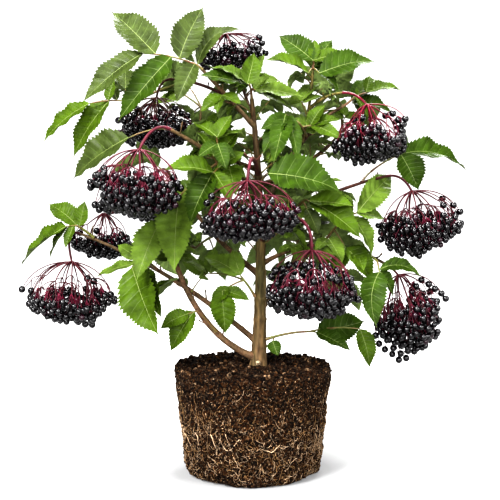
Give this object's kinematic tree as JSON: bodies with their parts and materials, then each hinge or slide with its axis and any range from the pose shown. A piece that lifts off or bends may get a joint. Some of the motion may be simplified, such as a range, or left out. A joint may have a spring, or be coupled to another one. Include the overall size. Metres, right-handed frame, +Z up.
{
  "type": "black elderberry shrub",
  "caption": "Young fruiting black elderberry shrub on a bare nursery root ball, with arching boughs, toothed compound leaves and hanging heads of glossy black berries.",
  "frame": {"origin": "centre of the root ball's flat underside", "axes": "+Z up along the trunk, -Y towards the side that the picture shows, +X to the right in it"},
  "size_m": [0.5108, 0.3124, 0.5058],
  "materials": {
    "root_ball": "matt, fibrous, moist peat laced with pale fine roots",
    "trunk_bark": "tan to dark brown young bark with small lenticels",
    "bough_bark": "smooth tan to reddish young bark",
    "leaves": "semi-matt mid green with lighter veins",
    "berries": "glossy black berries on dark red stalks"
  },
  "bodies": {
    "root": {"back_high": "bough_bark", "back_left": "bough_bark", "back_low": "bough_bark", "back_mid": "bough_bark", "back_right": "bough_bark", "front": "bough_bark", "fruit_twig_left": "bough_bark", "fruit_twig_right": "bough_bark", "leaves_back_high": "leaves", "leaves_back_inner": "leaves", "leaves_back_left": "leaves", "leaves_back_low": "leaves", "leaves_back_mid": "leaves", "leaves_back_right": "leaves", "leaves_crown_top": "leaves", "leaves_far_left": "leaves", "leaves_far_right": "leaves", "leaves_front_right": "leaves", "leaves_hanging_left": "leaves", "leaves_inner_left": "leaves", "leaves_inner_right": "leaves", "leaves_left_high": "leaves", "leaves_left_mid": "leaves", "leaves_left_under": "leaves", "leaves_low_left": "leaves", "leaves_low_right": "leaves", "leaves_right_inner": "leaves", "leaves_right_leafy": "leaves", "leaves_right_top": "leaves", "leaves_right_under": "leaves", "leaves_top_left": "leaves", "leaves_top_right": "leaves", "leaves_trunk_left": "leaves", "left_arch": "bough_bark", "left_stem": "bough_bark", "lower_right": "bough_bark", "mid_left": "bough_bark", "right_low": "bough_bark", "right_main": "bough_bark", "right_mid": "bough_bark", "right_upright": "bough_bark", "root_ball": "root_ball", "top_back": "bough_bark", "trunk": "trunk_bark", "umbel_back_high": "berries", "umbel_back_left": "berries", "umbel_back_mid": "berries", "umbel_back_right": "berries", "umbel_far_left": "berries", "umbel_front": "berries", "umbel_inner_left": "berries", "umbel_low_right": "berries", "umbel_lower_right": "berries", "umbel_mid_left": "berries", "umbel_right": "berries", "umbel_top": "berries", "umbel_upper_left": "berries", "umbel_upper_right": "berries", "upper_left": "bough_bark"}
  },
  "joints": []
}
